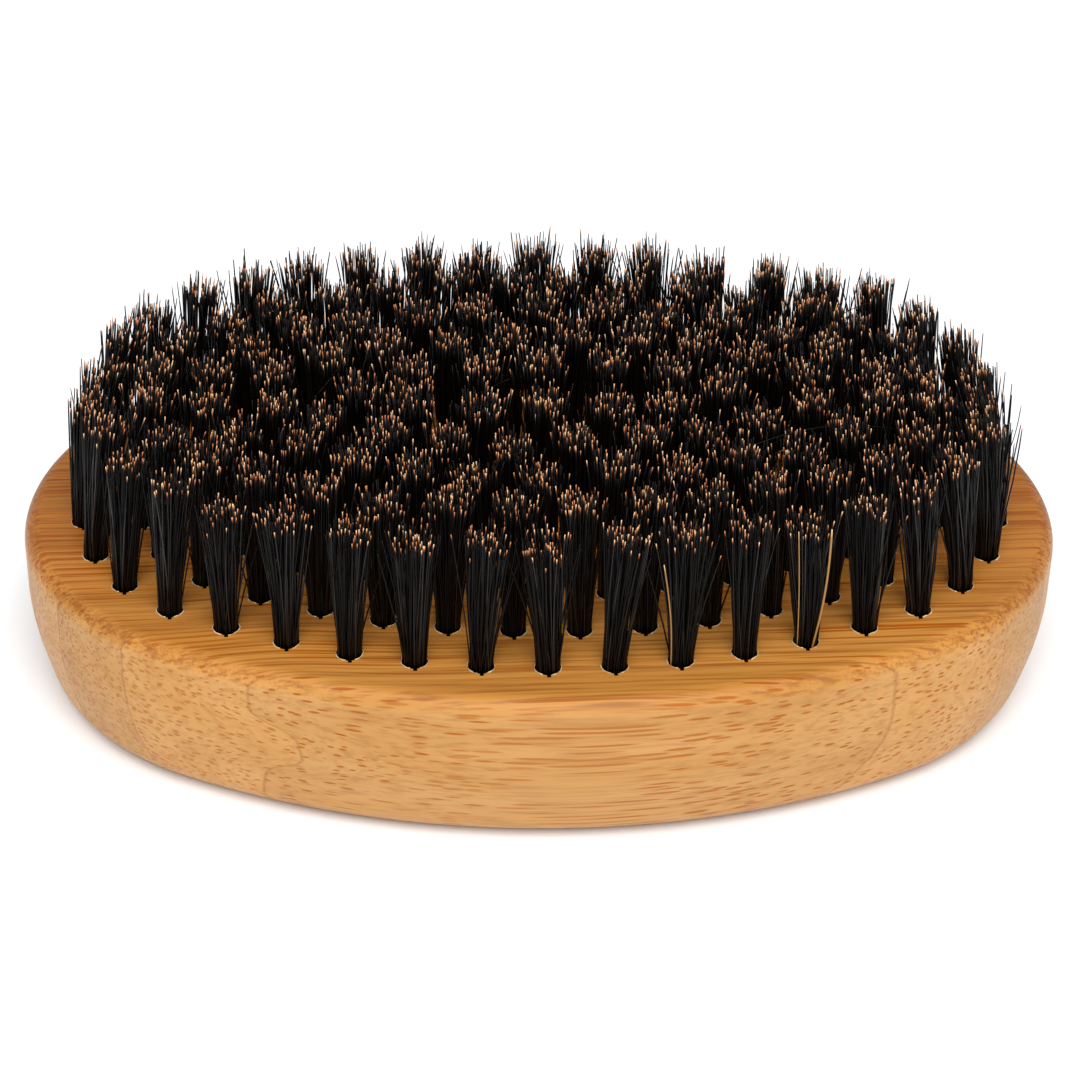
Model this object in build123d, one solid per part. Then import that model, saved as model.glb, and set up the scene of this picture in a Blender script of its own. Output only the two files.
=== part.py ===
"""Oval palm brush for beards, lying on its palm side with the bristles up.

The block is cut from a panel of bamboo strips glued side by side. Its bristle
face is drilled with five staggered oval rings of blind holes. Each hole holds
one tuft of bristle, folded under a flat metal anchor. The anchor is a little
wider than the hole. Driven down across the grain, it cuts a narrow groove in
both sides of the hole and pins the tuft to the bottom.

Millimetres. X runs along the block, Y across it and Z up. The origin is the
middle of the palm side, the flat face that the brush rests on.
"""
import math
import os

from build123d import *

# ---- Block ----
block_length = 110.0
block_width = 72.0
block_height = 18.5
side_bow = 6.0            # how far the sides bulge past the rounding of the ends
face_edge_radius = 2.0    # rounding between the wall and the bristle face
taper_height = 9.0        # the lower wall draws in towards the palm side
taper_inset = 2.3
taper_blend_radius = 25.0
palm_edge_radius = 4.0    # rounding between the wall and the palm side
rim_depth = 10.0          # the shaped rim of the block; inside it the block is flat
rim_overlap = 2.0         # how far the flat middle reaches into the rim

# ---- Glued bamboo strips ----
strip_count = 10
front_strip_width = 5.9   # the block's edge cuts through the first and last strip
back_strip_width = 2.9
grain_angle = 2.7         # degrees between the strips and the long axis

# ---- Drilled rings, outermost first ----
tufts_in_ring = [38, 32, 26, 20, 12]
ring_inset = 6.4          # from the block's edge to the outermost ring
middle_gap = 8.8          # between the two sides of the innermost ring
innermost_end_radius = 2.5
innermost_shortening = 4.4  # how far the innermost ring stops short of a full step

# ---- Holes ----
hole_diameter = 2.7
hole_depth = 9.0          # down to the foot of the straight wall
drill_tip_angle = 118.0

# ---- Anchors ----
anchor_bite = 0.35        # how far each end of the anchor cuts into the wood
anchor_thickness = 0.4
anchor_height = 2.0
fold_height = 0.9         # bristle under the anchor, where the tuft is folded

# ---- Tufts ----
tuft_height = 15.8        # above the bristle face
tuft_clearance = 0.05     # between the tuft and the hole, all round
anchor_clearance = 0.05   # between the tuft and the anchor
tuft_gap = 0.5            # between the widest parts of the closest two tufts
tuft_neck_height = 1.0    # straight part above the face, before the tuft spreads
tuft_crown_height = 1.2   # domed top

# ---- Worked out from the sizes above ----
half_length = block_length / 2
half_width = block_width / 2
end_radius = half_width - side_bow
ring_step = (half_width - ring_inset - middle_gap / 2) / (len(tufts_in_ring) - 1)
strip_width = (block_width - front_strip_width - back_strip_width) / (strip_count - 2)
hole_floor = block_height - hole_depth
hole_radius = hole_diameter / 2
drill_tip_height = hole_radius / math.tan(math.radians(drill_tip_angle / 2))
anchor_width = hole_diameter + 2 * anchor_bite
anchor_foot = hole_floor + fold_height
tuft_radius = hole_radius - tuft_clearance


def oval(oval_half_length, oval_half_width, oval_end_radius):
    """Closed oval of four tangent arcs. It starts at +X and runs anticlockwise."""
    end_centre = oval_half_length - oval_end_radius
    bow = oval_half_width - oval_end_radius
    side_radius = (end_centre**2 + oval_half_width**2 - oval_end_radius**2) / (2 * bow)
    side_centre = side_radius - oval_half_width
    meeting_angle = math.degrees(math.atan2(side_centre, end_centre))
    side_sweep = 180 - 2 * meeting_angle
    first_end = CenterArc((end_centre, 0), oval_end_radius, 0, meeting_angle)
    back_side = CenterArc((0, -side_centre), side_radius, meeting_angle, side_sweep)
    far_end = CenterArc((-end_centre, 0), oval_end_radius, 180 - meeting_angle, 2 * meeting_angle)
    front_side = CenterArc((0, side_centre), side_radius, 180 + meeting_angle, side_sweep)
    last_end = CenterArc((end_centre, 0), oval_end_radius, -meeting_angle, meeting_angle)
    return Wire([first_end, back_side, far_end, front_side, last_end])


def ring_path(ring):
    """The line that one ring of tufts follows, a step further in than the last one."""
    inset = ring_inset + ring * ring_step
    ring_length = half_length - inset
    ring_width = half_width - inset
    if ring == len(tufts_in_ring) - 1:
        return oval(ring_length - innermost_shortening, ring_width, innermost_end_radius)
    return oval(ring_length, ring_width, end_radius - inset)


def ring_points(ring):
    """Tuft centres round one ring, evenly spaced, every other ring half a step on."""
    path = ring_path(ring)
    count = tufts_in_ring[ring]
    front_middle = 0.75 * path.length
    shift = 0.5 * (ring % 2)
    points = []
    for i in range(count):
        distance = (front_middle + (i + shift) / count * path.length) % path.length
        point = path.position_at(distance, PositionMode.LENGTH)
        points.append((point.X, point.Y))
    return points


def closest_spacing(points):
    """Smallest distance between any two of the points."""
    spacing = math.inf
    for i, first in enumerate(points):
        for second in points[i + 1:]:
            spacing = min(spacing, math.dist(first, second))
    return spacing


def rim_section():
    """Section through the rim: X is the distance in from the edge, and Y is the height."""
    palm_corner = (taper_inset, 0)
    waist_corner = (0, taper_height)
    face_corner = (0, block_height)
    outline = Polyline(
        (rim_depth, 0),
        palm_corner,
        waist_corner,
        face_corner,
        (rim_depth, block_height),
        close=True,
    )
    section = make_face(outline)
    section = fillet(corner_of(section, palm_corner), palm_edge_radius)
    section = fillet(corner_of(section, waist_corner), taper_blend_radius)
    return fillet(corner_of(section, face_corner), face_edge_radius)


def corner_of(section, place):
    """The section's corner at a place."""
    return section.vertices().sort_by_distance((place[0], place[1], 0))[0]


def whole_block():
    """The block before it is divided into strips and drilled."""
    start = Plane(origin=(half_length, 0, 0), x_dir=(-1, 0, 0), z_dir=(0, 1, 0))
    edge = oval(half_length, half_width, end_radius)
    rim = sweep(start * rim_section(), path=edge)
    inset = rim_depth - rim_overlap
    middle = make_face(oval(half_length - inset, half_width - inset, end_radius - inset))
    return rim + extrude(middle, block_height)


def strip_limits(index):
    """Where a strip starts and ends, measured across the strips from the middle."""
    low = -half_width + front_strip_width + (index - 1) * strip_width
    high = low + strip_width
    if index == 0:
        low = -block_width
    if index == strip_count - 1:
        high = block_width
    return low, high


def strip_space(index):
    """The slab of space that one strip takes, wider than the block on the outside."""
    low, high = strip_limits(index)
    slab = Box(2 * block_length, high - low, 3 * block_height)
    return Rot(0, 0, grain_angle) * Pos(0, (low + high) / 2, 0) * slab


def cut_by(index, x, y):
    """Whether the hole and the anchor groove at a point cut into a strip."""
    low, high = strip_limits(index)
    turn = math.radians(grain_angle)
    across = y * math.cos(turn) - x * math.sin(turn)
    return low - anchor_width / 2 < across < high + anchor_width / 2


def hole():
    """Drilled hole, on the Z axis."""
    tip = Pos(0, 0, hole_floor - drill_tip_height / 2) * Cone(0, hole_radius, drill_tip_height)
    wall_height = hole_depth + 1
    wall = Pos(0, 0, hole_floor + wall_height / 2) * Cylinder(hole_radius, wall_height)
    return tip + wall


def anchor(clearance=0.0):
    """Flat anchor across the strips, on the Z axis."""
    plate = Box(
        anchor_thickness + 2 * clearance,
        anchor_width + 2 * clearance,
        anchor_height + 2 * clearance,
    )
    return Rot(0, 0, grain_angle) * Pos(0, 0, anchor_foot + anchor_height / 2) * plate


def anchor_groove():
    """What the anchor cuts out of the wood on its way down, on the Z axis."""
    height = block_height + 1 - anchor_foot
    plate = Box(anchor_thickness, anchor_width, height)
    return Rot(0, 0, grain_angle) * Pos(0, 0, anchor_foot + height / 2) * plate


def tuft(top_radius):
    """One tuft, folded under its anchor and spreading above the face, on the Z axis."""
    shoulder = hole_floor + tuft_clearance
    foot = shoulder - tuft_radius * drill_tip_height / hole_radius
    neck = block_height + tuft_neck_height
    top = block_height + tuft_height
    rim = top - tuft_crown_height
    crown_radius = (top_radius**2 + tuft_crown_height**2) / (2 * tuft_crown_height)
    crown_centre = top - crown_radius
    rim_angle = math.degrees(math.atan2(rim - crown_centre, top_radius))
    outline = Polyline((0, foot), (tuft_radius, shoulder), (tuft_radius, neck), (top_radius, rim))
    crown = CenterArc((0, crown_centre), crown_radius, rim_angle, 90 - rim_angle)
    axis_line = Line((0, top), (0, foot))
    half_section = Plane.XZ * make_face([*outline.edges(), crown, axis_line])
    return revolve(half_section, Axis.Z) - anchor(anchor_clearance)


def at_points(shape, points):
    """Copies of the shape, one at each point, as one group of separate solids."""
    return Compound(children=[Pos(x, y, 0) * shape for x, y in points])


def save(shape, name):
    """Write one sub-part, and say what it holds."""
    shape.label = name
    export_step(shape, f"parts/{name}.step")
    print(f"{name}: {len(shape.solids())} solids, {shape.volume:.1f} mm3")


os.makedirs("parts", exist_ok=True)

rings = [ring_points(ring) for ring in range(len(tufts_in_ring))]
all_points = [point for points in rings for point in points]
tuft_top_radius = (closest_spacing(all_points) - tuft_gap) / 2

block = whole_block()
drill = hole()
groove = anchor_groove()
for index in range(strip_count):
    strip = block & strip_space(index)
    cuts = []
    for x, y in all_points:
        if cut_by(index, x, y):
            cuts.append(Pos(x, y, 0) * drill)
            cuts.append(Pos(x, y, 0) * groove)
    save(strip - cuts, f"bamboo_strip_{index + 1:02d}")

plate = anchor()
bristle = tuft(tuft_top_radius)
for ring, points in enumerate(rings):
    save(at_points(bristle, points), f"tufts_ring_{ring + 1}")
    save(at_points(plate, points), f"anchors_ring_{ring + 1}")
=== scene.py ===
# %% [markdown]
# # An oval beard brush
#
# A palm brush for beards is a block of bamboo with tufts of boar bristle. The
# block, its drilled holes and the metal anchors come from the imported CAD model,
# which is loaded first and stays as it is. Blender adds what the CAD leaves
# plain: the grain of the bamboo, the torn wood round each hole and every bristle.

import math
import random

import bmesh
import bpy
from mathutils import Matrix, Vector


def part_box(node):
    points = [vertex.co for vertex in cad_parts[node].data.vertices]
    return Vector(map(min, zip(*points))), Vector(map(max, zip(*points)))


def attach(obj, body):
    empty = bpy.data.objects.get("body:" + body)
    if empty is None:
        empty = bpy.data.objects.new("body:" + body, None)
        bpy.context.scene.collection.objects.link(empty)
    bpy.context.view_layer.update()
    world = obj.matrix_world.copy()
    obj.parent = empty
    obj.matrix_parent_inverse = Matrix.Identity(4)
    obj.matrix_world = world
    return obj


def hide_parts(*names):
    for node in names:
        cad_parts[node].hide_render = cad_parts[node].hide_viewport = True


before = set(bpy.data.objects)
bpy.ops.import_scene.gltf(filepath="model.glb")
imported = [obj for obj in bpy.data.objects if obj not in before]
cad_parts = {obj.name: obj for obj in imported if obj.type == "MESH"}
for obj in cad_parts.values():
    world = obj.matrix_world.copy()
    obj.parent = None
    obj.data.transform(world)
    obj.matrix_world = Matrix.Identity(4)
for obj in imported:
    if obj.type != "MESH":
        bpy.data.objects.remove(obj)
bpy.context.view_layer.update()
MM = 0.001
print("CAD nodes:", len(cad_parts))

# %% [markdown]
# ## Where the tufts stand
#
# Every hole, tuft and anchor of the CAD model shares one centre line. The
# anchors are small loose boxes, so the middle of each box is the middle of a
# tuft. Reading the places from the frame keeps every bristle in its own hole.

# %% Find the tufts
RING_COUNT = 5
FACE_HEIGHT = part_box("bamboo_strip_05")[1].z
BRISTLE_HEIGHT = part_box("tufts_ring_1")[1].z - FACE_HEIGHT


def loose_centres(node):
    """The middle of each separate solid in a CAD node, going round the ring."""
    mesh = bmesh.new()
    mesh.from_mesh(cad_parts[node].data)
    bmesh.ops.remove_doubles(mesh, verts=mesh.verts, dist=0.001 * MM)
    waiting = set(mesh.verts)
    centres = []
    for first in mesh.verts:
        if first not in waiting:
            continue
        waiting.remove(first)
        solid = [first]
        for vert in solid:
            for edge in vert.link_edges:
                other = edge.other_vert(vert)
                if other in waiting:
                    waiting.remove(other)
                    solid.append(other)
        centres.append(sum((vert.co for vert in solid), Vector()) / len(solid))
    mesh.free()
    return sorted(centres, key=lambda centre: math.atan2(centre.y, centre.x))


rings = [loose_centres(f"anchors_ring_{ring + 1}") for ring in range(RING_COUNT)]
print("tufts in each ring:", [len(ring) for ring in rings])
print("bristle height:", round(BRISTLE_HEIGHT / MM, 2), "mm")

# %% [markdown]
# ## Colours
#
# Colours are easiest to judge as the hex values of a paint program, but Blender
# computes light with linear values. One function turns the first into the second.

# %% Hex to linear colour


def linear(hex_colour):
    """A node colour from an sRGB hex value."""
    channels = []
    for start in (0, 2, 4):
        value = int(hex_colour[start:start + 2], 16) / 255
        if value <= 0.04045:
            channels.append(value / 12.92)
        else:
            channels.append(((value + 0.055) / 1.055) ** 2.4)
    return (*channels, 1.0)


print("oiled bamboo as linear:", [round(value, 3) for value in linear("D9A05B")])

# %% [markdown]
# ## Building materials from nodes
#
# Every material here is a small network of nodes. One helper adds a node, sets
# its options and fills its inputs. An input is either a plain value or the
# output of a node that was added earlier, and then the two are linked.

# %% One helper for nodes


def add(material, kind, inputs=None, **options):
    """Add a node to a material or world. Sockets among the inputs are linked."""
    tree = material.node_tree
    node = tree.nodes.new(kind)
    for name, value in options.items():
        setattr(node, name, value)
    for name, value in (inputs or {}).items():
        if isinstance(value, bpy.types.NodeSocket):
            tree.links.new(value, node.inputs[name])
        else:
            node.inputs[name].default_value = value
    return node


def new_material(name):
    """An empty node material with a Principled shader as its surface."""
    material = bpy.data.materials.new(name)
    material.use_nodes = True
    shader = material.node_tree.nodes["Principled BSDF"]
    print("material:", name)
    return material, shader


def finish_with(material, nodes):
    """Give CAD nodes a material in place of their plain one."""
    for name in nodes:
        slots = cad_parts[name].data.materials
        slots.clear()
        slots.append(material)
    print(material.name, "on", len(nodes), "CAD nodes")


# %% [markdown]
# ## Bamboo
#
# The block is sanded and lightly oiled bamboo. Bamboo has no year rings. Its
# pale ground tissue is full of darker strands, 0.3 to 0.5 mm thick, that run
# straight along the culm. Cut along, a strand shows as a long streak, and cut
# across, as a dot. A picture of wood could be wrapped round the block, but it
# would never turn from streaks to dots at the ends. A pattern that fills the
# solid does both on its own: Voronoi cells about half a millimetre wide, drawn
# out very long along the grain, with a strand in the middle of each cell.
#
# The block is glued up from strips of different culms. The material measures
# along the grain, across it and up, so that it can tell the strips apart. The
# slant of the grain and the place of the glue lines are those of the CAD strips.

# %% Bamboo: directions and strips
GRAIN_ANGLE = math.radians(2.7)
FIRST_SEAM = -30.1        # mm across the strips, the glue line nearest the front
STRIP_WIDTH = 7.9         # mm
PER_MM = 1 / MM

bamboo, bamboo_shader = new_material("oiled_bamboo_strips")
coordinates = add(bamboo, "ShaderNodeTexCoord")
along_grain = add(
    bamboo,
    "ShaderNodeMapping",
    {
        "Vector": coordinates.outputs["Object"],
        "Rotation": (0, 0, -GRAIN_ANGLE),
        "Scale": (PER_MM, PER_MM, PER_MM),
    },
)
place = add(bamboo, "ShaderNodeSeparateXYZ", {0: along_grain.outputs[0]})
print("a glue line every", STRIP_WIDTH, "mm")

# %% [markdown]
# On the real block one glue line bends round a swollen node of the culm, low on
# the left of the front. A smooth bump, added to the measure across the strips,
# bends the glue line and the grain beside it. The bump is a bell curve along
# the block and a flatter-topped one up the wall, and under it the line stays
# pushed the other way.

# %% Bamboo: the node beside the front glue line
NODE_ALONG = -28.0        # mm from the middle of the block
NODE_HEIGHT = 10.2        # mm above the palm side
NODE_LENGTH = 9.0         # mm along the grain, from its middle to where it dies out
NODE_THICKNESS = 2.9      # mm up the wall, measured the same way
NODE_PUSH = 1.0           # mm that it pushes the glue line, either way
UNDER_NODE_PUSH = -2.2    # mm more at the palm side
UNDER_NODE_HEIGHT = 6.5   # mm, where that has died out


def bell(measure, middle, reach, power):
    """A chain of nodes that gives 1 at the middle and falls to 0 past its reach."""
    steps = (("SUBTRACT", middle), ("DIVIDE", reach), ("POWER", power), ("MULTIPLY", -1.0))
    for operation, value in steps:
        step = add(bamboo, "ShaderNodeMath", {0: measure, 1: value}, operation=operation)
        measure = step.outputs[0]
    return add(bamboo, "ShaderNodeMath", {0: measure}, operation="EXPONENT").outputs[0]


beside_node = bell(place.outputs[0], NODE_ALONG, NODE_LENGTH, 2.0)
swelling = add(
    bamboo,
    "ShaderNodeMath",
    {
        0: bell(place.outputs[2], NODE_HEIGHT, NODE_THICKNESS, 4.0),
        1: 2 * NODE_PUSH,
        2: -NODE_PUSH,
    },
    operation="MULTIPLY_ADD",
)
under_node = add(
    bamboo,
    "ShaderNodeMapRange",
    {
        "Value": place.outputs[2],
        "From Min": 0.0,
        "From Max": UNDER_NODE_HEIGHT,
        "To Min": UNDER_NODE_PUSH,
        "To Max": 0.0,
    },
)
bend = add(
    bamboo,
    "ShaderNodeMath",
    {0: swelling.outputs[0], 1: under_node.outputs[0]},
    operation="ADD",
)
across = add(
    bamboo,
    "ShaderNodeMath",
    {0: bend.outputs[0], 1: beside_node, 2: place.outputs[1]},
    operation="MULTIPLY_ADD",
)
print("node of the culm at", NODE_ALONG, "mm along and", NODE_HEIGHT, "mm up")

# %% [markdown]
# Counting glue lines gives every point the number of its strip. A random value
# for each number then moves the pattern of that strip, so the strands never run
# on from one strip into the next.

# %% Bamboo: which strip a point is in
STRIP_JUMP = (90.0, 40.0, 40.0)   # mm, the most that a strip's pattern is moved

from_seam = add(
    bamboo,
    "ShaderNodeMath",
    {0: across.outputs[0], 1: FIRST_SEAM},
    operation="SUBTRACT",
)
in_strips = add(
    bamboo,
    "ShaderNodeMath",
    {0: from_seam.outputs[0], 1: STRIP_WIDTH},
    operation="DIVIDE",
)
strip_number = add(bamboo, "ShaderNodeMath", {0: in_strips.outputs[0]}, operation="FLOOR")
in_strip = add(bamboo, "ShaderNodeMath", {0: in_strips.outputs[0]}, operation="FRACT")
strip_chance = add(
    bamboo,
    "ShaderNodeTexWhiteNoise",
    {"W": strip_number.outputs[0]},
    noise_dimensions="1D",
)
strip_shift = add(
    bamboo,
    "ShaderNodeVectorMath",
    {0: strip_chance.outputs["Color"], 1: STRIP_JUMP},
    operation="MULTIPLY",
)
print("each strip's pattern is moved by up to", STRIP_JUMP, "mm")

# %% [markdown]
# A strand grows nearly straight but drifts sideways a little, which a slow noise
# gives. Strands crowd and thicken towards one side of a strip, which was the
# outside of the culm. In the front strip that side faces the front.

# %% Bamboo: strands
STRAND_SPACING = 0.56     # mm between strands
STRAND_LENGTH = 50.0      # mm, about how long a strand runs before it dips away
FLATTENING = 1.15         # how much closer the strands lie upwards than sideways
WANDER = 0.9              # mm that a strand drifts sideways along its length
DRIFT_SCALE = (0.03, 0.09, 0.09)   # turns of the drift in a mm, along and across
THIN_STRAND = 0.29        # radius as a share of the spacing, inside of the culm
THICK_STRAND = 0.44       # the same at the outside of the culm
STRAND_CORE = 0.65        # share of the radius that has the full colour
STRAND_DEPTHS = (0.5, 1.0)   # colour of the palest and the darkest strand

slow = add(
    bamboo,
    "ShaderNodeVectorMath",
    {0: along_grain.outputs[0], 1: DRIFT_SCALE},
    operation="MULTIPLY",
)
drift = add(
    bamboo,
    "ShaderNodeTexNoise",
    {"Vector": slow.outputs[0], "Scale": 1.0, "Detail": 2.0},
)
drift = add(
    bamboo,
    "ShaderNodeVectorMath",
    {0: drift.outputs["Color"], 1: (0.0, WANDER, WANDER)},
    operation="MULTIPLY",
)
strand_place = add(
    bamboo,
    "ShaderNodeCombineXYZ",
    {"X": place.outputs[0], "Y": across.outputs[0], "Z": place.outputs[2]},
)
strand_place = add(
    bamboo,
    "ShaderNodeVectorMath",
    {0: strand_place.outputs[0], 1: strip_shift.outputs[0]},
    operation="ADD",
)
strand_place = add(
    bamboo,
    "ShaderNodeVectorMath",
    {0: strand_place.outputs[0], 1: drift.outputs[0]},
    operation="ADD",
)
drawn_out = add(
    bamboo,
    "ShaderNodeVectorMath",
    {
        0: strand_place.outputs[0],
        1: (1 / STRAND_LENGTH, 1 / STRAND_SPACING, FLATTENING / STRAND_SPACING),
    },
    operation="MULTIPLY",
)
strand_cells = add(
    bamboo,
    "ShaderNodeTexVoronoi",
    {"Vector": drawn_out.outputs[0], "Scale": 1.0, "Randomness": 0.9},
)
from_back = add(
    bamboo,
    "ShaderNodeMath",
    {0: 1.0, 1: in_strip.outputs[0]},
    operation="SUBTRACT",
)
behind_front_strip = add(
    bamboo,
    "ShaderNodeMapRange",
    {"Value": strip_number.outputs[0], "From Min": -1.0, "From Max": 0.0},
)
crowding = add(
    bamboo,
    "ShaderNodeMix",
    {
        "Factor": behind_front_strip.outputs[0],
        2: from_back.outputs[0],
        3: in_strip.outputs[0],
    },
    data_type="FLOAT",
)
thickness = add(
    bamboo,
    "ShaderNodeMapRange",
    {"Value": crowding.outputs[0], "To Min": THIN_STRAND, "To Max": THICK_STRAND},
)
core = add(
    bamboo,
    "ShaderNodeMath",
    {0: thickness.outputs[0], 1: STRAND_CORE},
    operation="MULTIPLY",
)
strand = add(
    bamboo,
    "ShaderNodeMapRange",
    {
        "Value": strand_cells.outputs["Distance"],
        "From Min": core.outputs[0],
        "From Max": thickness.outputs[0],
        "To Min": 1.0,
        "To Max": 0.0,
    },
)
cell_chance = add(bamboo, "ShaderNodeSeparateColor", {0: strand_cells.outputs["Color"]})
strand_depth = add(
    bamboo,
    "ShaderNodeMapRange",
    {
        "Value": cell_chance.outputs[0],
        "To Min": STRAND_DEPTHS[0],
        "To Max": STRAND_DEPTHS[1],
    },
)
print("a strand every", STRAND_SPACING, "mm")

# %% [markdown]
# Between the strands the ground tissue is not one flat colour either. A fine
# noise, stretched along the grain, gives the hair lines of sanded fibre, and a
# broad one makes some stretches paler. The fibres are finer than a tenth of a
# millimetre, so the hair lines are drawn about half a millimetre wide, as coarse
# as they need to be to show. They are drawn darker on the bristle face than on
# the walls, and the direction that the surface faces tells where that is.

# %% Bamboo: ground tissue
HAIR_SCALE = (0.045, 2.0, 2.0)    # hair lines in a mm, along and across
BROAD_SCALE = (0.012, 0.3, 0.3)   # broad stretches in a mm
FACING_UP_FROM = (0.2, 0.75)    # how far up a surface faces where the darker hair lines and the painted shade of the bristle face start and are full
HAIR_SHARE = (0.46, 0.66)   # where the noise starts to draw a hair line and is full
HAIR_DEPTHS = (0.35, 0.7)   # colour of the hair lines on the walls and on the upward bristle face

surface = add(bamboo, "ShaderNodeNewGeometry")
facing_side = add(bamboo, "ShaderNodeSeparateXYZ", {0: surface.outputs["Normal"]})
# How far the surface faces up. It darkens the hair lines there, and it places the painted shade
# of the bristle face further down.
facing_up = add(
    bamboo,
    "ShaderNodeMapRange",
    {
        "Value": facing_side.outputs[2],
        "From Min": FACING_UP_FROM[0],
        "From Max": FACING_UP_FROM[1],
    },
)
hair_lines = add(
    bamboo,
    "ShaderNodeVectorMath",
    {0: strand_place.outputs[0], 1: HAIR_SCALE},
    operation="MULTIPLY",
)
hair_lines = add(
    bamboo,
    "ShaderNodeTexNoise",
    {"Vector": hair_lines.outputs[0], "Scale": 1.0, "Detail": 3.0, "Roughness": 0.6},
)
broad = add(
    bamboo,
    "ShaderNodeVectorMath",
    {0: strand_place.outputs[0], 1: BROAD_SCALE},
    operation="MULTIPLY",
)
broad = add(
    bamboo,
    "ShaderNodeTexNoise",
    {"Vector": broad.outputs[0], "Scale": 1.0, "Detail": 2.0},
)
tissue = add(
    bamboo,
    "ShaderNodeMix",
    {"Factor": broad.outputs[0], 6: linear("B5803F"), 7: linear("CE9D62")},
    data_type="RGBA",
)
hair_depth = add(
    bamboo,
    "ShaderNodeMapRange",
    {"Value": facing_up.outputs[0], "To Min": HAIR_DEPTHS[0], "To Max": HAIR_DEPTHS[1]},
)
hair_darkness = add(
    bamboo,
    "ShaderNodeMapRange",
    {
        "Value": hair_lines.outputs[0],
        "From Min": HAIR_SHARE[0],
        "From Max": HAIR_SHARE[1],
        "To Min": 0.0,
        "To Max": hair_depth.outputs[0],
    },
)
tissue = add(
    bamboo,
    "ShaderNodeMix",
    {"Factor": hair_darkness.outputs[0], 6: tissue.outputs[2], 7: linear("8E5424")},
    data_type="RGBA",
)
print("hair lines every", 1 / HAIR_SCALE[1], "mm")

# %% [markdown]
# The strands are laid over the tissue, each with its own depth of colour. Where
# two strips meet there is a thin dark line of glue.

# %% Bamboo: strands and glue lines over the tissue
GLUE_SOFT = 0.12          # mm from the middle of a glue line to where it starts
GLUE_HARD = 0.03          # mm from the middle to where it is darkest
GLUE_DEPTH = 0.3          # how strongly it colours the wood

strand_strength = add(
    bamboo,
    "ShaderNodeMath",
    {0: strand.outputs[0], 1: strand_depth.outputs[0]},
    operation="MULTIPLY",
)
wood = add(
    bamboo,
    "ShaderNodeMix",
    {"Factor": strand_strength.outputs[0], 6: tissue.outputs[2], 7: linear("A45A00")},
    data_type="RGBA",
)
from_middle = add(
    bamboo,
    "ShaderNodeMath",
    {0: in_strip.outputs[0], 1: 0.5},
    operation="SUBTRACT",
)
from_middle = add(bamboo, "ShaderNodeMath", {0: from_middle.outputs[0]}, operation="ABSOLUTE")
glue_line = add(
    bamboo,
    "ShaderNodeMapRange",
    {
        "Value": from_middle.outputs[0],
        "From Min": 0.5 - GLUE_SOFT / STRIP_WIDTH,
        "From Max": 0.5 - GLUE_HARD / STRIP_WIDTH,
        "To Min": 0.0,
        "To Max": GLUE_DEPTH,
    },
)
wood = add(
    bamboo,
    "ShaderNodeMix",
    {"Factor": glue_line.outputs[0], 6: wood.outputs[2], 7: linear("7C400C")},
    data_type="RGBA",
)
print("glue lines", 2 * GLUE_SOFT, "mm wide")

# %% [markdown]
# No two culms have quite the same colour, so each strip is a little darker or
# paler. The bristle face gets painted shade: a warmer and deeper tone than the
# walls, which stands in for the shade of the bristles and the pale sheen on the
# walls. The tone is deeper in the middle strips than in the front ones.

# %% Bamboo: tone of the strips and painted shade on the bristle face
STRIP_TONES = (0.9, 1.06)   # the darkest and the palest strip
TOP_TINT_STRIPS = (-0.5, 3.0)    # strip numbers from the front where the painted shade of the bristle face is palest and deepest

strip_tone = add(
    bamboo,
    "ShaderNodeMapRange",
    {
        "Value": strip_chance.outputs["Value"],
        "To Min": STRIP_TONES[0],
        "To Max": STRIP_TONES[1],
    },
)
toned = add(
    bamboo,
    "ShaderNodeHueSaturation",
    {"Color": wood.outputs[2], "Value": strip_tone.outputs[0]},
)
middle_strips = add(
    bamboo,
    "ShaderNodeMapRange",
    {
        "Value": strip_number.outputs[0],
        "From Min": TOP_TINT_STRIPS[0],
        "From Max": TOP_TINT_STRIPS[1],
    },
)
# Painted shade: the colour that the bristle face is multiplied by. It is paler on the front
# strips and deeper on the middle ones.
top_shade_colour = add(
    bamboo,
    "ShaderNodeMix",
    {"Factor": middle_strips.outputs[0], 6: linear("FFEEC2"), 7: linear("E4C498")},
    data_type="RGBA",
)
# The painted shade is multiplied in where the surface faces up.
top_shaded = add(
    bamboo,
    "ShaderNodeMix",
    {"Factor": facing_up.outputs[0], 6: toned.outputs[0], 7: top_shade_colour.outputs[2]},
    data_type="RGBA",
    blend_type="MULTIPLY",
)
print("tone of the strips:", STRIP_TONES)

# %% [markdown]
# Where the edge of the face cuts across the grain, sanding tears the ends of the
# fibres. That leaves a ragged dark band of small pits at the two ends of the
# block and none along its sides, so the band is limited by its height and by how
# far the surface faces along the block.

# %% Bamboo: torn fibre ends along the rim
RIM_START = 16.9          # mm above the palm side
RIM_FULL = 17.9
END_FACING = (0.12, 0.4)  # how far along the block the surface faces, start and full
TEAR_SCALE = 2.4          # tears in a mm
TEAR_SHARE = (0.5, 0.62)  # where the noise starts to draw a tear and is full
TEAR_COLOUR_DEPTH = 0.6   # how strongly a tear colours the wood

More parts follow.
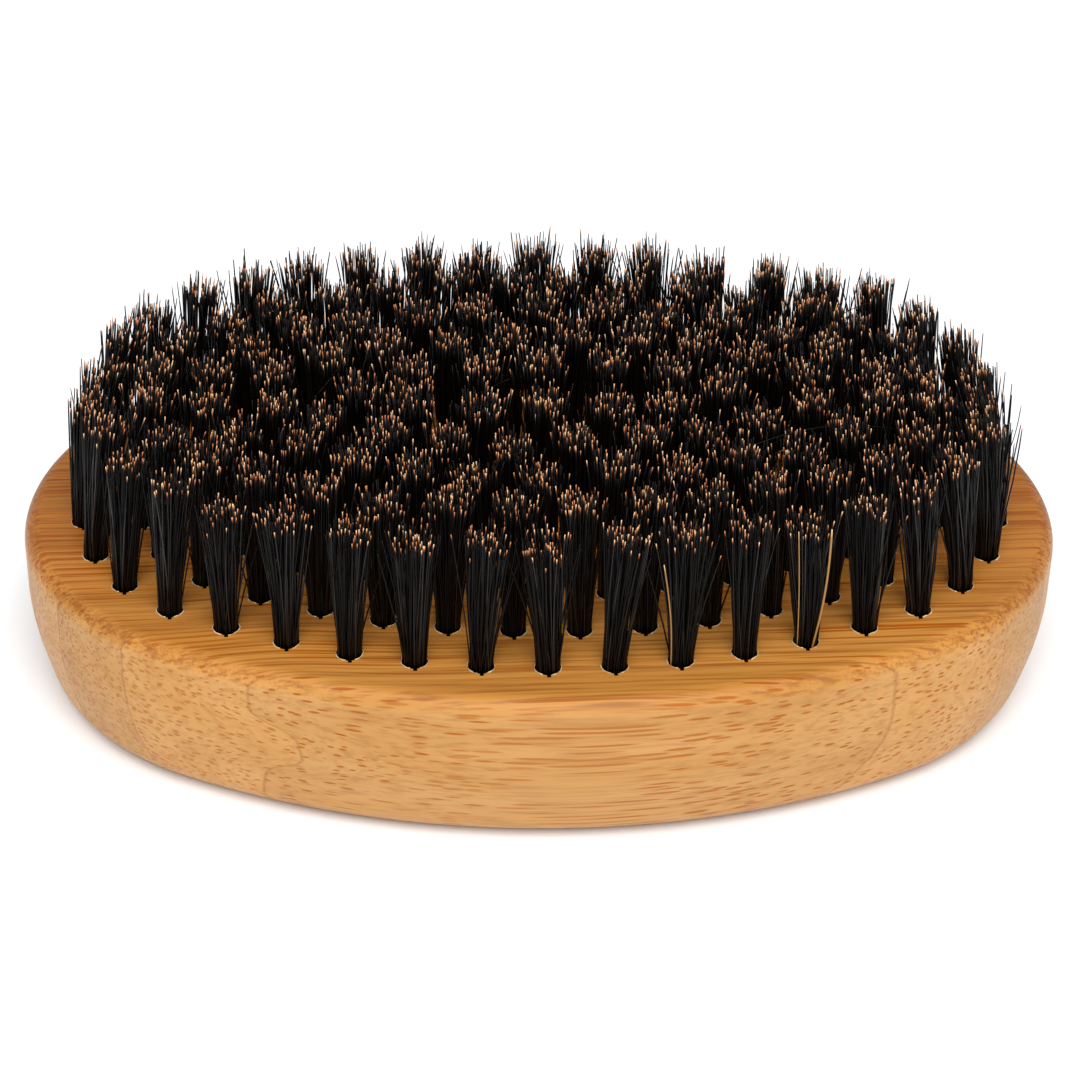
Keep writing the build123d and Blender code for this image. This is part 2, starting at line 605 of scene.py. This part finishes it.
end_grain = add(bamboo, "ShaderNodeMath", {0: facing_side.outputs[0]}, operation="ABSOLUTE")
end_grain = add(
    bamboo,
    "ShaderNodeMapRange",
    {
        "Value": end_grain.outputs[0],
        "From Min": END_FACING[0],
        "From Max": END_FACING[1],
    },
)
at_rim = add(
    bamboo,
    "ShaderNodeMapRange",
    {"Value": place.outputs[2], "From Min": RIM_START, "From Max": RIM_FULL},
)
torn_rim = add(
    bamboo,
    "ShaderNodeMath",
    {0: end_grain.outputs[0], 1: at_rim.outputs[0]},
    operation="MULTIPLY",
)
tears = add(
    bamboo,
    "ShaderNodeTexNoise",
    {
        "Vector": along_grain.outputs[0],
        "Scale": TEAR_SCALE,
        "Detail": 3.0,
        "Roughness": 0.7,
    },
)
tear_marks = add(
    bamboo,
    "ShaderNodeMapRange",
    {"Value": tears.outputs[0], "From Min": TEAR_SHARE[0], "From Max": TEAR_SHARE[1]},
)
tear_marks = add(
    bamboo,
    "ShaderNodeMath",
    {0: tear_marks.outputs[0], 1: torn_rim.outputs[0]},
    operation="MULTIPLY",
)
tear_colour = add(
    bamboo,
    "ShaderNodeMath",
    {0: tear_marks.outputs[0], 1: TEAR_COLOUR_DEPTH},
    operation="MULTIPLY",
)
finished = add(
    bamboo,
    "ShaderNodeMix",
    {"Factor": tear_colour.outputs[0], 6: top_shaded.outputs[2], 7: linear("7E4A1A")},
    data_type="RGBA",
)
print("torn rim from", RIM_START, "mm up")

# %% [markdown]
# Sanded bamboo is smooth, but its strands lie a little lower than the tissue
# and the tears are pits. A bump of a few hundredths of a millimetre is enough.
# Oil without varnish leaves a satin surface, so the gloss is low.

# %% Bamboo: relief and gloss
TEAR_DEPTH = 2.5          # how deep a tear is, in depths of a strand
RELIEF = 0.06 * MM        # depth of a strand

relief = add(
    bamboo,
    "ShaderNodeMath",
    {0: tear_marks.outputs[0], 1: -TEAR_DEPTH},
    operation="MULTIPLY",
)
relief = add(
    bamboo,
    "ShaderNodeMath",
    {0: relief.outputs[0], 1: strand.outputs[0]},
    operation="SUBTRACT",
)
raised = add(
    bamboo,
    "ShaderNodeBump",
    {"Height": relief.outputs[0], "Strength": 0.4, "Distance": RELIEF},
)
bamboo.node_tree.links.new(finished.outputs[2], bamboo_shader.inputs["Base Color"])
bamboo.node_tree.links.new(raised.outputs[0], bamboo_shader.inputs["Normal"])
bamboo_shader.inputs["Roughness"].default_value = 0.42
bamboo_shader.inputs["IOR"].default_value = 1.5
bamboo_shader.inputs["Specular IOR Level"].default_value = 0.22
finish_with(bamboo, [f"bamboo_strip_{number:02d}" for number in range(1, 11)])

# %% [markdown]
# ## Bristle
#
# Boar bristle is black or dark brown with a dull gloss, and here and there a
# blond one is left among the black. Its end is split into a pale flag, which is
# why the top of a tuft glitters with gold. Hair particles could draw it, but a
# piece has to be a mesh in the end, so each bristle is a thin curve that is
# turned into one. The UV map that comes with a curve says how far along a point
# is, and the colour changes just before the end. It counts the curve's points
# and not its length, so each piece between two points takes the same share of it.

# %% Bristle materials
STATIONS = (0.06, 0.3, 0.58, 0.86, 1.0)   # heights of a bristle's points, as shares
FLAG_LENGTH = 0.72 * MM
SPLIT_UP_TO = 0.6         # from the tip, as a share: where the colour of the split is full
END_UP_TO = 0.1           # the same for the paler colour of the very end
END_FACE = 0.0001         # the end faces of a rod lie on the edge of its UV map, at 0


def bristle_material(name, shaft, split, end, gloss):
    """Boar bristle with a shaft of one colour that turns paler along its split end."""
    material, shader = new_material(name)
    length_map = add(material, "ShaderNodeUVMap", uv_map="UVMap")
    length = add(material, "ShaderNodeSeparateXYZ", {0: length_map.outputs[0]})
    last_piece = (1 - STATIONS[-2]) * BRISTLE_HEIGHT
    flag = FLAG_LENGTH / last_piece / len(STATIONS)
    split_part = add(
        material,
        "ShaderNodeMapRange",
        {
            "Value": length.outputs[0],
            "From Min": 1 - flag,
            "From Max": 1 - SPLIT_UP_TO * flag,
        },
    )
    end_part = add(
        material,
        "ShaderNodeMapRange",
        {
            "Value": length.outputs[0],
            "From Min": 1 - SPLIT_UP_TO * flag,
            "From Max": 1 - END_UP_TO * flag,
        },
    )
    end_face = add(
        material,
        "ShaderNodeMath",
        {0: length.outputs[1], 1: END_FACE},
        operation="LESS_THAN",
    )
    end_part = add(
        material,
        "ShaderNodeMath",
        {0: end_part.outputs[0], 1: end_face.outputs[0]},
        operation="MAXIMUM",
    )
    colour = add(
        material,
        "ShaderNodeMix",
        {"Factor": split_part.outputs[0], 6: linear(shaft), 7: linear(split)},
        data_type="RGBA",
    )
    colour = add(
        material,
        "ShaderNodeMix",
        {"Factor": end_part.outputs[0], 6: colour.outputs[2], 7: linear(end)},
        data_type="RGBA",
    )
    material.node_tree.links.new(colour.outputs[2], shader.inputs["Base Color"])
    shader.inputs["Roughness"].default_value = 0.4
    shader.inputs["IOR"].default_value = 1.5
    shader.inputs["Specular IOR Level"].default_value = gloss
    return material


bristle_materials = [
    bristle_material("boar_bristle_black", "070504", "0C0806", "140D0A", 0.15),
    bristle_material("boar_bristle_gold_end", "080605", "8E5226", "F4C896", 0.45),
    bristle_material("boar_bristle_copper_end", "0B0705", "6E3517", "CC8656", 0.2),
    bristle_material("boar_bristle_blond", "A0743A", "C99A5C", "E8C490", 0.5),
]
BLACK, GOLD, COPPER, BLOND = range(4)

# %% [markdown]
# ## Tufts
#
# A tuft is fifty or sixty bristles folded in two, so over a hundred ends stand
# out of a 2.7 mm hole. They are packed tight at the root and fan out towards the
# top, and no two ends are level. At the root they are laid out on a sunflower
# spiral, which fills a round hole evenly.

# %% How one bristle stands
BRISTLE_RADIUS = 0.09 * MM
ROOT_RADIUS = 1.2 * MM
BRISTLES_PER_TUFT = 112
ROOT_DEPTH = 2.0 * MM     # how far a bristle is drawn down into its hole
FAN_POWER = 1.12          # above 1, a bristle bends outwards as it rises
GOLDEN_ANGLE = math.pi * (3 - math.sqrt(5))


def root_of(index, chance):
    """Where a bristle leaves the hole: evenly packed, with a little disorder."""
    distance = ROOT_RADIUS * math.sqrt((index + 0.5) / BRISTLES_PER_TUFT)
    angle = index * GOLDEN_ANGLE + chance.uniform(-0.2, 0.2)
    return Vector((distance * math.cos(angle), distance * math.sin(angle), 0))


def bristle_line(centre, root, spread, height, bow):
    """Points up one bristle, from inside the hole to its end."""
    foot = Vector((centre.x, centre.y, FACE_HEIGHT)) + root
    neck = STATIONS[0]
    line = [foot - Vector((0, 0, ROOT_DEPTH))]
    for share in STATIONS:
        fan = max(0.0, share - neck) / (1 - neck)
        sideways = spread * fan**FAN_POWER + bow * math.sin(math.pi * share)
        line.append(foot + sideways + Vector((0, 0, height * share)))
    return line


print("ends per tuft:", BRISTLES_PER_TUFT)

# %% [markdown]
# Each bristle is one spline of a curve with a small bevel, and a whole ring of
# tufts is turned into one mesh. The caps of the rods come loose from the sides,
# so they are welded on. The sides are shaded smooth and the caps flat.

# %% Lines to one mesh of rods
WELD = 0.0001 * MM


def draw_lines(name, lines, thickness, tapers, materials, choices):
    """One mesh from many lines, each a thin rod with closed ends."""
    curve = bpy.data.curves.new(name, "CURVE")
    curve.dimensions = "3D"
    curve.bevel_depth = thickness
    curve.bevel_resolution = 0
    curve.use_fill_caps = True
    for material in materials:
        curve.materials.append(material)
    for line, taper, choice in zip(lines, tapers, choices):
        spline = curve.splines.new("POLY")
        spline.points.add(len(line) - 1)
        spline.points.foreach_set("co", [value for point in line for value in (*point, 1.0)])
        spline.points.foreach_set("radius", taper)
        spline.material_index = choice
    maker = bpy.data.objects.new(name + "_lines", curve)
    mesh = bpy.data.meshes.new_from_object(maker)
    bpy.data.objects.remove(maker)
    bpy.data.curves.remove(curve)
    closed = bmesh.new()
    closed.from_mesh(mesh)
    bmesh.ops.remove_doubles(closed, verts=closed.verts, dist=WELD)
    uv_map = closed.loops.layers.uv.active
    for face in closed.faces:
        face.smooth = any(loop[uv_map].uv.y > END_FACE for loop in face.loops)
    closed.to_mesh(mesh)
    closed.free()
    mesh.name = name
    piece = bpy.data.objects.new(name, mesh)
    bpy.context.collection.objects.link(piece)
    triangles = sum(len(face.vertices) - 2 for face in mesh.polygons)
    print(name, "-", len(lines), "rods,", triangles, "triangles")
    return piece


# %% [markdown]
# Chance makes the tufts differ as hand-filled ones do: each has its own lean,
# spread and height, and each bristle its own place, bow and colour. One in six
# stands away from its tuft. A seed for each ring gives the same brush each time.

# %% Bristles, ring by ring
TOP_SPREAD = 0.8             # how much wider than its root a bristle stands at the top
SPREAD_RANGE = (0.75, 1.3)   # the same for the tightest and the widest tuft
STRAGGLERS = 0.16            # share of the bristles that stand away from their tuft
STRAGGLE_RANGE = (1.5, 2.3)  # how many times farther out they stand
END_LEAN = 2.2 * MM          # the tufts at the two ends lean towards the middle
OUTERMOST = 48.6 * MM        # from the middle of the block to the last tuft
TUFT_SHORTER = 0.6 * MM      # how far a common bristle stays below the CAD tuft's top
HEIGHT_SPREAD = 0.65 * MM    # how far the height of a bristle strays in its tuft
SHORTEST = -2.2 * MM         # the least height, from that of the tuft
TALLEST = 0.9 * MM           # the greatest height, from the CAD tuft's top
TUFT_HEIGHT_SPREAD = 0.35    # mm, how far the height of a tuft strays
TUFT_LEAN = 0.3              # mm, how far the top of a tuft strays
SCATTER = 0.42               # mm, how far the end of a bristle strays
BOW = 0.16                   # mm, how far the middle of a bristle strays
SHAFT_TAPER = (1.0, 1.0, 1.0, 0.95, 0.88, 0.62)
KINDS = (BLACK, GOLD, COPPER, BLOND)
KIND_SHARES = (590, 190, 219, 1)


def tuft_lines(centre, chance):
    """All the bristles of one tuft, each with the number of its material."""
    lean = Vector((chance.gauss(0, TUFT_LEAN), chance.gauss(0, TUFT_LEAN), 0)) * MM
    lean.x -= END_LEAN * (centre.x / OUTERMOST) ** 3
    spreading = TOP_SPREAD * chance.uniform(*SPREAD_RANGE)
    tuft_height = BRISTLE_HEIGHT - TUFT_SHORTER + chance.gauss(0, TUFT_HEIGHT_SPREAD) * MM
    lines = []
    choices = []
    for index in range(BRISTLES_PER_TUFT):
        root = root_of(index, chance)
        scatter = Vector((chance.gauss(0, SCATTER), chance.gauss(0, SCATTER), 0)) * MM
        spread = root * spreading + scatter
        if chance.random() < STRAGGLERS:
            spread = spread * chance.uniform(*STRAGGLE_RANGE)
        spread += lean
        height = tuft_height + max(SHORTEST, chance.gauss(0, HEIGHT_SPREAD))
        height = min(height, BRISTLE_HEIGHT + TALLEST)
        bow = Vector((chance.gauss(0, BOW), chance.gauss(0, BOW), 0)) * MM
        lines.append(bristle_line(centre, root, spread, height, bow))
        choices.append(chance.choices(KINDS, KIND_SHARES)[0])
    return lines, choices


for ring, centres in enumerate(rings):
    chance = random.Random(40 + ring)
    lines = []
    choices = []
    for centre in centres:
        more_lines, more_choices = tuft_lines(centre, chance)
        lines += more_lines
        choices += more_choices
    bristles = draw_lines(
        f"bristles_ring_{ring + 1}",
        lines,
        BRISTLE_RADIUS,
        [SHAFT_TAPER] * len(lines),
        bristle_materials,
        choices,
    )
    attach(bristles, "root")
    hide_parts(f"tufts_ring_{ring + 1}")

# %% [markdown]
# A few bristles have worked loose and bend out on their own, and a few thick
# blond ones stand out at the front. They are drawn one by one: where each
# starts, where it ends, and how far it bows in between.

# %% Stray bristles
STRAYS = (
    # start, end and bow in mm, thickness as a share of a common bristle, kind
    ((47.6, -3.5, 24.0), (49.8, -3.0, 32.8), (0.5, 0.0, -0.4), 0.6, BLACK),
    ((-46.6, -4.0, 26.0), (-48.8, -2.5, 34.4), (-0.4, 0.0, 0.3), 0.7, BLACK),
    ((17.0, -13.0, 32.0), (36.0, -8.0, 33.0), (0.0, 0.0, 1.9), 0.6, BLACK),
    ((-24.0, 3.0, 30.0), (-20.0, 8.0, 35.0), (0.8, 0.0, 0.3), 0.7, BLACK),
    ((-7.0, -1.0, 30.0), (-3.5, -1.5, 35.0), (-0.7, 0.0, 0.6), 0.7, BLACK),
    ((30.0, 14.0, 29.0), (36.0, 15.0, 35.0), (-1.0, 0.0, 0.9), 0.7, BLACK),
    ((26.5, -26.3, 18.2), (27.4, -27.4, 33.4), (0.35, -0.1, 0.0), 1.4, BLOND),
    ((25.1, -25.9, 18.2), (24.2, -27.2, 33.0), (0.1, -0.1, 0.0), 0.8, BLOND),
    ((12.2, -29.3, 18.2), (11.0, -30.0, 31.0), (0.3, -0.2, 0.0), 0.9, BLOND),
    ((48.9, -4.4, 18.3), (48.9, -5.2, 27.5), (0.2, -0.1, 0.0), 1.2, BLOND),
)
STRAY_STEPS = 12
STRAY_END = 0.5           # thickness of the end as a share of the shaft's

lines = []
tapers = []
for start, end, bow, thickness, kind in STRAYS:
    line = []
    for step in range(STRAY_STEPS + 1):
        share = step / STRAY_STEPS
        point = Vector(start).lerp(Vector(end), share) + Vector(bow) * math.sin(math.pi * share)
        line.append(point * MM)
    lines.append(line)
    tapers.append([thickness] * STRAY_STEPS + [STRAY_END * thickness])
strays = draw_lines(
    "stray_bristles",
    lines,
    BRISTLE_RADIUS,
    tapers,
    bristle_materials,
    [stray[-1] for stray in STRAYS],
)
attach(strays, "root")

# %% [markdown]
# ## Anchors
#
# The anchors are cut from flat steel wire, drawn and left bare. They sit deep
# in the holes and are only seen if the brush is cut open. Drawing leaves fine
# lines along the wire, which make its gloss uneven.

# %% Anchor material
DRAW_LINES = (12, 1.5, 12)   # lines in a mm, across, along and up the wire

wire, wire_shader = new_material("flat_steel_wire")
wire_place = add(wire, "ShaderNodeTexCoord")
wire_grain = add(
    wire,
    "ShaderNodeMapping",
    {
        "Vector": wire_place.outputs["Object"],
        "Scale": [PER_MM * lines_in_mm for lines_in_mm in DRAW_LINES],
    },
)
wire_lines = add(wire, "ShaderNodeTexNoise", {"Vector": wire_grain.outputs[0], "Scale": 1.0})
wire_rough = add(
    wire,
    "ShaderNodeMapRange",
    {"Value": wire_lines.outputs[0], "To Min": 0.25, "To Max": 0.5},
)
wire.node_tree.links.new(wire_rough.outputs[0], wire_shader.inputs["Roughness"])
wire_shader.inputs["Base Color"].default_value = linear("B4B4B0")
wire_shader.inputs["Metallic"].default_value = 1.0
finish_with(wire, [f"anchors_ring_{ring + 1}" for ring in range(RING_COUNT)])

# %% [markdown]
# ## Torn wood round the holes
#
# The drill lifts a thin lip of raw fibre round each hole, and the anchor breaks
# it at the front and the back. No oil reached the torn fibre, so it is paler
# than the face and quite dull.

# %% Material of the torn fibre
FIBRE_SCALE = 2.5 * PER_MM

torn, torn_shader = new_material("raw_bamboo_fibre")
torn_place = add(torn, "ShaderNodeTexCoord")
torn_noise = add(
    torn,
    "ShaderNodeTexNoise",
    {"Vector": torn_place.outputs["Object"], "Scale": FIBRE_SCALE},
)
torn_colour = add(
    torn,
    "ShaderNodeMix",
    {"Factor": torn_noise.outputs[0], 6: linear("A97C42"), 7: linear("EAD6AE")},
    data_type="RGBA",
)
torn.node_tree.links.new(torn_colour.outputs[2], torn_shader.inputs["Base Color"])
torn_shader.inputs["Roughness"].default_value = 0.7

# %% [markdown]
# A lip could be pulled up out of the face with a sculpting brush, but the CAD
# mesh stays as it is. So each lip is drawn as two ragged arcs, one on each side
# of the hole, that swell and thin out and lie half sunk in the face.

# %% Lips round the holes
HOLE_RADIUS = 1.35 * MM
LIP_RADIUS = 0.08 * MM
LIP_STEPS = 10
ANCHOR_GAP = 16           # degrees left open on either side of the anchor
GAP_RANGE = (-4, 10)      # degrees, how far the gap strays
RAGGED = (-0.02, 0.05)    # mm, how far a lip strays outwards and upwards
LIP_TAPER = (0.1, 1.2)    # its thinnest and thickest places


def lip_arcs(centre, chance):
    """Two ragged arcs round one hole, open where the anchor went down."""
    arcs = []
    tapers = []
    for side in (0, 1):
        first = math.radians(-90 + ANCHOR_GAP + 180 * side + chance.uniform(*GAP_RANGE))
        last = math.radians(90 - ANCHOR_GAP + 180 * side - chance.uniform(*GAP_RANGE))
        arc = []
        taper = []
        for step in range(LIP_STEPS + 1):
            angle = first + (last - first) * step / LIP_STEPS
            reach = HOLE_RADIUS + chance.uniform(*RAGGED) * MM
            lift = chance.uniform(*RAGGED) * MM
            arc.append(Vector((
                centre.x + reach * math.cos(angle),
                centre.y + reach * math.sin(angle),
                FACE_HEIGHT + lift,
            )))
            taper.append(chance.uniform(*LIP_TAPER))
        arcs.append(arc)
        tapers.append(taper)
    return arcs, tapers


for ring, centres in enumerate(rings):
    chance = random.Random(70 + ring)
    arcs = []
    tapers = []
    for centre in centres:
        more_arcs, more_tapers = lip_arcs(centre, chance)
        arcs += more_arcs
        tapers += more_tapers
    lips = draw_lines(
        f"torn_lips_ring_{ring + 1}",
        arcs,
        LIP_RADIUS,
        tapers,
        [torn],
        [0] * len(arcs),
    )
    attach(lips, "root")

# %% [markdown]
# ## The floor
#
# A plain white sheet runs under the brush and far behind it.

# %% Floor
FLOOR_REACH = 3.0         # metres from the middle to the edge

paper, paper_shader = new_material("white_paper")
paper_shader.inputs["Base Color"].default_value = linear("F4F7FA")
paper_shader.inputs["Roughness"].default_value = 0.9
floor_mesh = bmesh.new()
bmesh.ops.create_grid(floor_mesh, x_segments=1, y_segments=1, size=FLOOR_REACH)
floor_data = bpy.data.meshes.new("floor")
floor_mesh.to_mesh(floor_data)
floor_mesh.free()
floor_data.materials.append(paper)
floor = bpy.data.objects.new("floor", floor_data)
bpy.context.collection.objects.link(floor)
print("floor:", 2 * FLOOR_REACH, "m across")

# %% [markdown]
# ## The camera
#
# The brush is seen from above its front, and very slightly from the left. A long
# lens keeps the oval from looking stretched, and the camera still stands close
# enough that the back looks smaller. It looks at a point just below the face.

# %% Camera
LENS = 100.0              # mm
SENSOR = 36.0             # mm
DISTANCE = 0.3216         # metres from the middle of the face
ELEVATION = math.radians(33.0)
TURN = math.radians(2.0)
ROLL = math.radians(1.1)
AIM_BELOW_FACE = 4.6 * MM

face_middle = Vector((0, 0, FACE_HEIGHT))
aim = face_middle - Vector((0, 0, AIM_BELOW_FACE))
away = Vector((-math.sin(TURN), -math.cos(TURN), 0)) * math.cos(ELEVATION)
away.z = math.sin(ELEVATION)
camera_place = face_middle + away * DISTANCE
facing = (aim - camera_place).to_track_quat("-Z", "Y").to_matrix().to_4x4()
camera_data = bpy.data.cameras.new("camera")
camera_data.lens = LENS
camera_data.sensor_width = SENSOR
camera = bpy.data.objects.new("camera", camera_data)
bpy.context.collection.objects.link(camera)
rolled = Matrix.Rotation(ROLL, 4, "Z")
camera.matrix_world = Matrix.Translation(camera_place) @ facing @ rolled
bpy.context.scene.camera = camera
print("camera at", [round(value, 3) for value in camera_place])

# %% [markdown]
# ## Light
#
# The brush stands in a light tent. A sun as wide as a big diffuser shines down
# from above the front, with edges so soft that the floor hardly shows a shadow.
# A small low lamp in front only adds the fine highlights on the bristles.

# %% Lamps
LIT_POINT = Vector((0, 0, 15 * MM))   # inside the brush, at about half its height


def lamp(name, kind, position, **settings):
    """A lamp that faces the brush."""
    lamp_data = bpy.data.lights.new(name, kind)
    for setting, value in settings.items():
        setattr(lamp_data, setting, value)
    holder = bpy.data.objects.new(name, lamp_data)
    bpy.context.collection.objects.link(holder)
    turned = (LIT_POINT - position).to_track_quat("-Z", "Y").to_matrix().to_4x4()
    holder.matrix_world = Matrix.Translation(position) @ turned


lamp("front", "SUN", Vector((0.05, -1.0, 1.75)), energy=3.3, angle=math.radians(50))
lamp("sheen", "AREA", Vector((0.06, -0.7, 0.12)), energy=1.2, size=0.3)
print("lights:", len(bpy.data.lights))

# %% [markdown]
# The walls of the tent throw a weak white light from all round. Seen directly
# they would look grey at that strength, so they are shown at full white, which
# changes only the backdrop and none of the light on the brush.

# %% Walls of the light tent
WALLS = 0.35              # how brightly the walls of the tent light the brush
BACKDROP = 1.0            # how bright they look behind it

tent = bpy.data.worlds.new("light_tent")
tent.use_nodes = True
walls = tent.node_tree.nodes["Background"]
walls.inputs["Color"].default_value = linear("FFFFFF")
ray = add(tent, "ShaderNodeLightPath")
brightness = add(
    tent,
    "ShaderNodeMapRange",
    {"Value": ray.outputs["Is Camera Ray"], "To Min": WALLS, "To Max": BACKDROP},
)
tent.node_tree.links.new(brightness.outputs[0], walls.inputs["Strength"])
bpy.context.scene.world = tent
bpy.context.scene.view_settings.view_transform = "Standard"
print("world:", tent.name)
